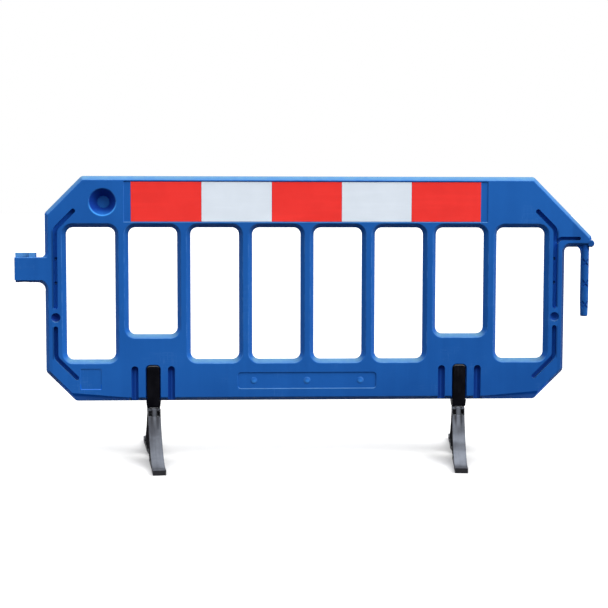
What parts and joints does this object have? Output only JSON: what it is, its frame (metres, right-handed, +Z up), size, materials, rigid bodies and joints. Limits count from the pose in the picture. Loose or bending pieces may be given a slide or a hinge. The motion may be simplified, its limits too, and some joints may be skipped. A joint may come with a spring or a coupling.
{
  "type": "road barrier",
  "caption": "Blow-moulded pedestrian barrier panel with windows, reflective band, linking peg and socket, on two swivelling anti-trip feet.",
  "frame": {"origin": "on the ground under the middle of the barrier's length and thickness", "axes": "+X along the panel from the socket lug to the hook, +Y from the front face to the rear, +Z up"},
  "size_m": [2.06, 0.6906, 1],
  "materials": {
    "panel_plastic": "satin",
    "sheeting_red": "gloss",
    "sheeting_white": "gloss",
    "block_plastic": "matte",
    "foot_plastic": "matte",
    "steel": "zinc plated"
  },
  "bodies": {
    "barrier": {"panel": "panel_plastic", "front_tile_red_left": "sheeting_red", "front_tile_white_left": "sheeting_white", "front_tile_red_middle": "sheeting_red", "front_tile_white_right": "sheeting_white", "front_tile_red_right": "sheeting_red", "rear_tile_red_left": "sheeting_red", "rear_tile_white_left": "sheeting_white", "rear_tile_red_middle": "sheeting_red", "rear_tile_white_right": "sheeting_white", "rear_tile_red_right": "sheeting_red", "left_pivot_block": "block_plastic", "left_block_screws": "steel", "left_swivel_washer": "steel", "left_pivot_bolt": "steel", "left_bolt_washer": "steel", "left_lock_nut": "steel", "right_pivot_block": "block_plastic", "right_block_screws": "steel", "right_swivel_washer": "steel", "right_pivot_bolt": "steel", "right_bolt_washer": "steel", "right_lock_nut": "steel"},
    "left_foot_body": {"left_foot": "foot_plastic"},
    "right_foot_body": {"right_foot": "foot_plastic"}
  },
  "joints": [
    {"name": "left_foot_swivel", "type": "hinge", "parent": "barrier", "child": "left_foot_body", "pos_m": [-0.54675, 0, 0.15], "axis": [0, 0, 1], "range_deg": [-96.3, 83.7]},
    {"name": "right_foot_swivel", "type": "hinge", "parent": "barrier", "child": "right_foot_body", "pos_m": [0.54675, 0, 0.15], "axis": [0, 0, 1], "range_deg": [-83.2, 96.8]}
  ]
}
